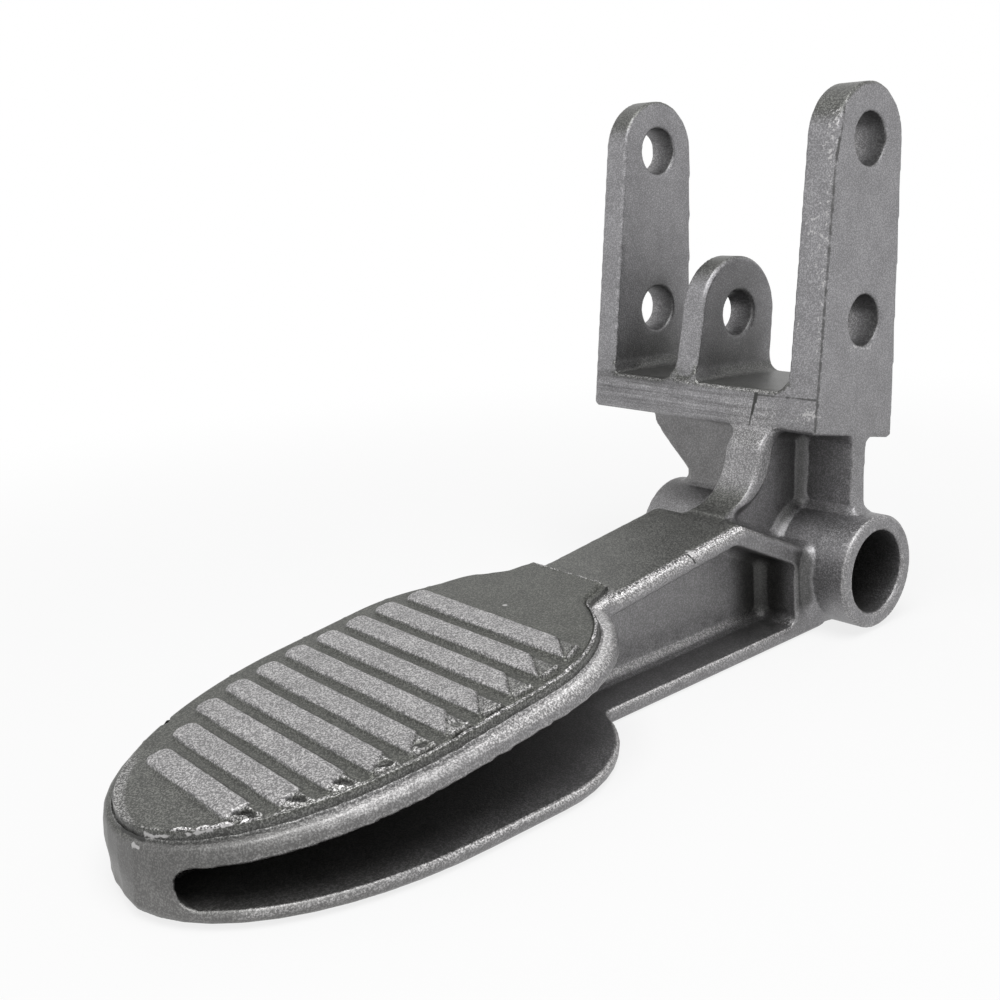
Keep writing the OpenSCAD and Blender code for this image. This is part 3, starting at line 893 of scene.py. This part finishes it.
# a line or a chip on the casting: the surface near a short straight path, with a ragged border
def markGroup():
    m = markLook
    tree, given, out = newGroup("castMark", markInputs, ("Mark",))
    spot = tree.nodes.new("ShaderNodeTexCoord").outputs["Object"]
    place = addVector(tree, "SCALE", spot, 1 / mm)
    path = addVector(tree, "SUBTRACT", given["End"], given["Start"])
    fromStart = addVector(tree, "SUBTRACT", place, given["Start"])
    run = addVector(tree, "DOT_PRODUCT", fromStart, path, "Value")
    whole = addVector(tree, "DOT_PRODUCT", path, path, "Value")
    along = addMath(tree, "DIVIDE", run, whole, clamp=True)
    away = addVector(tree, "DISTANCE", fromStart, addVector(tree, "SCALE", path, along), "Value")
    crumbs = addNode(tree, "ShaderNodeTexNoise", Detail=m["detail"], Roughness=m["rough"])
    tree.links.new(spot, crumbs.inputs["Vector"])
    tree.links.new(addMath(tree, "DIVIDE", 1 / mm, given["Crumb"]), crumbs.inputs["Scale"])
    wobble = addMath(tree, "MULTIPLY", addMath(tree, "SUBTRACT", crumbs.outputs["Fac"], 0.5), given["Ragged"])
    fade = addMath(tree, "ADD", addMath(tree, "DIVIDE", away, given["Width"]), given["Sparse"])
    tree.links.new(spread(tree, addMath(tree, "ADD", fade, wobble), *m["border"]), out["Mark"])
    return tree


# the metal: colours, grain and marks
castMetal = {
    # painted shade in recesses; also the dark of seams and cracks
    "recess": (0.06, 0.06, 0.058),
    # painted shade: low for low down and the toe, high for high up and the tread
    "low": (0.158, 0.156, 0.15), "high": (0.282, 0.278, 0.287),
    # worn metal with painted highlights, and a brighter painted highlight above it
    "wearAndSheen": (0.345, 0.339, 0.339), "gleam": (0.58, 0.571, 0.571),
    # dark casting skin, also a painted dark reflection on what faces up
    "skin": (0.1, 0.1015, 0.0925),
    "chip": (0.6, 0.59, 0.59), "chipShare": 0.7, "seamShare": 0.75,
    "metallic": 0.8, "roughness": (0.34, 0.52), "bump": 0.35, "bumpDepth": 0.2,
    # grain: depth on dull metal and on worn metal with painted highlights, more on skin, less where it gleams
    "grain": (0.36, 0.72), "skinGrain": 0.9, "gleamGrain": 0.6, "wearSheenSpecks": (0.8, 0.6),
    "speckSpan": (0.2, 0.8), "speckPower": 2, "speckGain": 1.6, "speckMean": 0.58,
    "mottleSpan": (0.3, 0.7), "mottle": (0.93, 1.07),
    "streakStretch": (25, 25, 1300), "streakDetail": 3, "streakRough": 0.65, "streakGain": 1.8,
    # start, end, width, raggedness, size of the crumbs and how sparse they are, in mm
    "seams": (
        ((17.85, -15.2, 36), (17.85, -7.2, 94), 0.55, 0.8, 1.1, 0),
        ((17.85, -7.2, 94), (17.6, -3.5, 107), 0.5, 0.9, 1.1, 0),
        ((1.3, -14.9, 43), (18, -14.3, 43.1), 0.36, 0.6, 0.8, 0),
        ((-0.1, -15.2, 38.8), (-0.9, -15.4, 35.6), 0.35, 0.6, 0.8, 0),
    ),
    "cracks": (
        ((1, -15, 43), (0.7, -15, 41.4), 0.75, 0.5, 0.8, 0),
        ((0.8, -15, 42.4), (-0.1, -15.2, 38.4), 0.5, 0.6, 0.8, 0),
        ((1.2, -180.1, -0.4), (7.2, -179.2, -0.6), 0.6, 1, 0.8, 0),
        ((11.9, -52.2, 15.4), (13.2, -51.6, 13.8), 0.35, 1, 0.6, 0),
    ),
    "chips": (
        ((16.5, -5.4, 105), (16.1, -6.9, 96.5), 1.5, 10, 0.8, 1),
        ((16.7, -7.2, 95), (16.9, -13, 52), 1.1, 10, 0.8, 1.6),
        ((13.6, -8.4, 86), (13.4, -11.2, 66), 4, 14, 1, 2.9),
        ((16.4, -8.6, 84.2), (11.2, -8.9, 81.8), 0.45, 5, 0.6, 0.6),
        ((15.8, -9.3, 79), (12.6, -9.2, 80), 0.4, 5, 0.6, 0.6),
        ((11, -12, 60), (10.9, -12.5, 56.4), 0.5, 5, 0.6, 0.7),
        ((15.2, -14.8, 39.8), (17.2, -14.9, 39.6), 1, 7, 0.7, 0.1),
        ((11, -15, 38.6), (14, -15, 37.8), 0.9, 8, 0.7, 1.1),
        ((0.6, -15.3, 36.8), (2.4, -15.3, 35), 1, 8, 0.7, 1),
        ((6.9, -178.7, 0.2), (8.4, -178.2, -0.1), 0.55, 2.4, 0.9, 0),
        ((5.9, -180.6, -1.4), (7.1, -180.2, -1.5), 0.5, 2.4, 0.9, 0),
        ((8.4, -178.2, 0.1), (15.7, -173.3, 1.5), 0.48, 2.6, 1.2, 0.25),
        ((15.7, -173.3, 1.5), (19, -169.5, 2.7), 0.48, 2.6, 1.2, 0.3),
        ((18, -2.0, 53), (18, 6.6, 52.4), 1, 8, 0.7, 1),
        ((-2.9, -92.3, 12.2), (-2.5, -92.2, 12.2), 0.45, 1, 0.5, 0),
        ((11.2, -51.3, 15.8), (12.4, -50.9, 15.2), 0.8, 3, 0.7, 0.2),
    ),
    "streaks": ((-47, -15, 40), (0, -15.2, 38.8), 7, 0.5, 3, 0),
}


def makeCastMetal():
    c = castMetal
    made = newMaterial("castAluminium")
    tree = made.node_tree
    out = addNode(tree, "ShaderNodeOutputMaterial")
    shader = addNode(tree, "ShaderNodeBsdfPrincipled", Metallic=c["metallic"])
    tree.links.new(shader.outputs[0], out.inputs[0])
    grain = addNode(tree, "ShaderNodeGroup", node_tree=grainGroup())
    mapNode = addNode(tree, "ShaderNodeAttribute", attribute_name="castMap")
    parts = addNode(tree, "ShaderNodeSeparateColor")
    tree.links.new(mapNode.outputs["Color"], parts.inputs["Color"])
    sky, wearAndSheen, skin = (parts.outputs[n] for n in ("Red", "Green", "Blue"))
    lumps, specks, mottle = (grain.outputs[n] for n in ("Lumps", "Specks", "Mottle"))
    marking = markGroup()

    def marks(rows):
        total = None
        for row in rows:
            mark = addNode(tree, "ShaderNodeGroup", node_tree=marking)
            for (name, *_), value in zip(markInputs, row):
                mark.inputs[name].default_value = value
            total = addMath(tree, "MAXIMUM", total, mark.outputs[0]) if total else mark.outputs[0]
        return total

    # wear with painted highlights
    wearSheenShare = spread(tree, wearAndSheen, 0, wearSheenFull)
    wearSheenMask = addMath(tree, "MULTIPLY", wearSheenShare, scaleAdd(tree, specks, *c["wearSheenSpecks"]), clamp=True)
    # painted shade by height
    colour = mixColour(tree, mapNode.outputs["Alpha"], c["low"], c["high"])
    # dark skin with a painted dark reflection on what faces up
    colour = mixColour(tree, skin, colour, c["skin"])
    # worn metal, and a painted highlight above it
    bare = mixColour(tree, spread(tree, wearAndSheen, wearSheenFull, 1), c["wearAndSheen"], c["gleam"])
    colour = mixColour(tree, wearSheenMask, colour, bare)
    # painted shade in recesses
    colour = mixColour(tree, sky, c["recess"], colour)
    # few bright specks among many dull ones, strong where the metal is bare
    depth = spread(tree, wearAndSheen, 0, wearSheenFull, *c["grain"])
    depth = addMath(tree, "MULTIPLY", depth, scaleAdd(tree, skin, c["skinGrain"], 1))
    depth = addMath(tree, "MULTIPLY", depth, spread(tree, wearAndSheen, wearSheenFull, 1, 1, c["gleamGrain"]))
    peak = addMath(tree, "POWER", spread(tree, specks, *c["speckSpan"]), c["speckPower"])
    tone = scaleAdd(tree, scaleAdd(tree, peak, c["speckGain"], -c["speckMean"]), depth, 1)
    tone = addMath(tree, "MULTIPLY", tone, spread(tree, mottle, *c["mottleSpan"], *c["mottle"]))
    # ground streaks along the yoke's front
    ground = marks((c["streaks"],))
    spot = tree.nodes.new("ShaderNodeTexCoord").outputs["Object"]
    stretched = addNode(tree, "ShaderNodeMapping", Scale=c["streakStretch"])
    tree.links.new(spot, stretched.inputs["Vector"])
    lines = addNode(
        tree, "ShaderNodeTexNoise", Scale=1, Detail=c["streakDetail"], Roughness=c["streakRough"])
    tree.links.new(stretched.outputs[0], lines.inputs["Vector"])
    streak = addMath(tree, "MULTIPLY", addMath(tree, "SUBTRACT", lines.outputs["Fac"], 0.5), ground)
    tone = addMath(tree, "MULTIPLY", tone, scaleAdd(tree, streak, c["streakGain"], 1))
    colour = addVector(tree, "SCALE", colour, tone)
    chips = addMath(tree, "MULTIPLY", marks(c["chips"]), c["chipShare"])
    colour = mixColour(tree, chips, colour, c["chip"])
    seams = addMath(tree, "MULTIPLY", marks(c["seams"]), c["seamShare"])
    colour = mixColour(tree, seams, colour, c["recess"])
    colour = mixColour(tree, marks(c["cracks"]), colour, c["recess"])
    tree.links.new(colour, shader.inputs["Base Color"])
    tree.links.new(spread(tree, specks, 0, 1, *c["roughness"]), shader.inputs["Roughness"])
    bump = addNode(tree, "ShaderNodeBump", Strength=c["bump"], Distance=c["bumpDepth"] * mm)
    tree.links.new(lumps, bump.inputs["Height"])
    tree.links.new(bump.outputs[0], shader.inputs["Normal"])
    return made


castFinish = makeCastMetal()
print("metal made")
castPiece.data.materials.append(castFinish)
treadPiece = makeTread()
treadPiece.data.materials.append(castFinish)

# white floor, even light and one softbox, lengths in metres
studio = {
    "floorSize": 6.0, "floorGap": 0.00002, "floor": (0.86, 0.86, 0.86),
    "floorGlow": 0.8, "whiteFrom": (0.12, 0.42), "shadowMiddle": (0, 0.08, 0),
    "lampPower": 3.0, "lampSize": 0.5, "lampPlace": (0.16, -0.2, 0.6), "lampAim": (0, -0.07, 0.02),
    "fill": 0.4,
}


# one for the rays that see plain white: straight from the camera, mirrored or passed through
def whiteFor(tree):
    path = tree.nodes.new("ShaderNodeLightPath")
    both = addMath(tree, "ADD", path.outputs["Is Camera Ray"], path.outputs["Is Glossy Ray"])
    return addMath(tree, "ADD", both, path.outputs["Is Transmission Ray"], clamp=True)


def buildStudio():
    s = studio
    deselect()
    ground = cadBox[0][2] - s["floorGap"]
    bpy.ops.mesh.primitive_plane_add(size=s["floorSize"], location=(0, 0, ground))
    floor = bpy.context.object
    floor.name = "floor"
    bpy.ops.object.transform_apply(location=True, rotation=True, scale=True)
    made = newMaterial("paleFloor")
    tree = made.node_tree
    out = addNode(tree, "ShaderNodeOutputMaterial")
    paper = addNode(tree, "ShaderNodeBsdfDiffuse")
    paper.inputs["Color"].default_value = s["floor"] + (1,)
    glow = addNode(tree, "ShaderNodeEmission", Strength=1)
    mixer = addNode(tree, "ShaderNodeMixShader")
    # the floor keeps the shadow near the object and is plain white farther out
    spot = tree.nodes.new("ShaderNodeTexCoord").outputs["Object"]
    away = addVector(tree, "LENGTH", addVector(tree, "ADD", spot, s["shadowMiddle"]), output="Value")
    share = spread(tree, away, *s["whiteFrom"], s["floorGlow"], 1)
    tree.links.new(addMath(tree, "MULTIPLY", whiteFor(tree), share), mixer.inputs[0])
    tree.links.new(paper.outputs[0], mixer.inputs[1])
    tree.links.new(glow.outputs[0], mixer.inputs[2])
    tree.links.new(mixer.outputs[0], out.inputs[0])
    floor.data.materials.append(made)

    world = bpy.data.worlds.new("studio")
    bpy.context.scene.world = world
    world.use_nodes = True
    tree = world.node_tree
    tree.nodes.clear()
    out = addNode(tree, "ShaderNodeOutputWorld")
    back = addNode(tree, "ShaderNodeBackground")
    back.inputs["Color"].default_value = (1, 1, 1, 1)
    level = addNode(tree, "ShaderNodeMapRange")
    tree.links.new(whiteFor(tree), level.inputs["Value"])
    level.inputs["To Min"].default_value = s["fill"]
    level.inputs["To Max"].default_value = 1
    tree.links.new(level.outputs[0], back.inputs["Strength"])
    tree.links.new(back.outputs[0], out.inputs[0])

    bpy.ops.object.light_add(type="AREA", location=s["lampPlace"])
    lamp = bpy.context.object
    lamp.name = "softbox"
    lamp.data.energy = s["lampPower"]
    lamp.data.shape = "DISK"
    lamp.data.size = s["lampSize"]
    aim = Vector(s["lampAim"]) - Vector(s["lampPlace"])
    lamp.rotation_euler = aim.to_track_quat("-Z", "Y").to_euler()


buildStudio()
print("studio built")
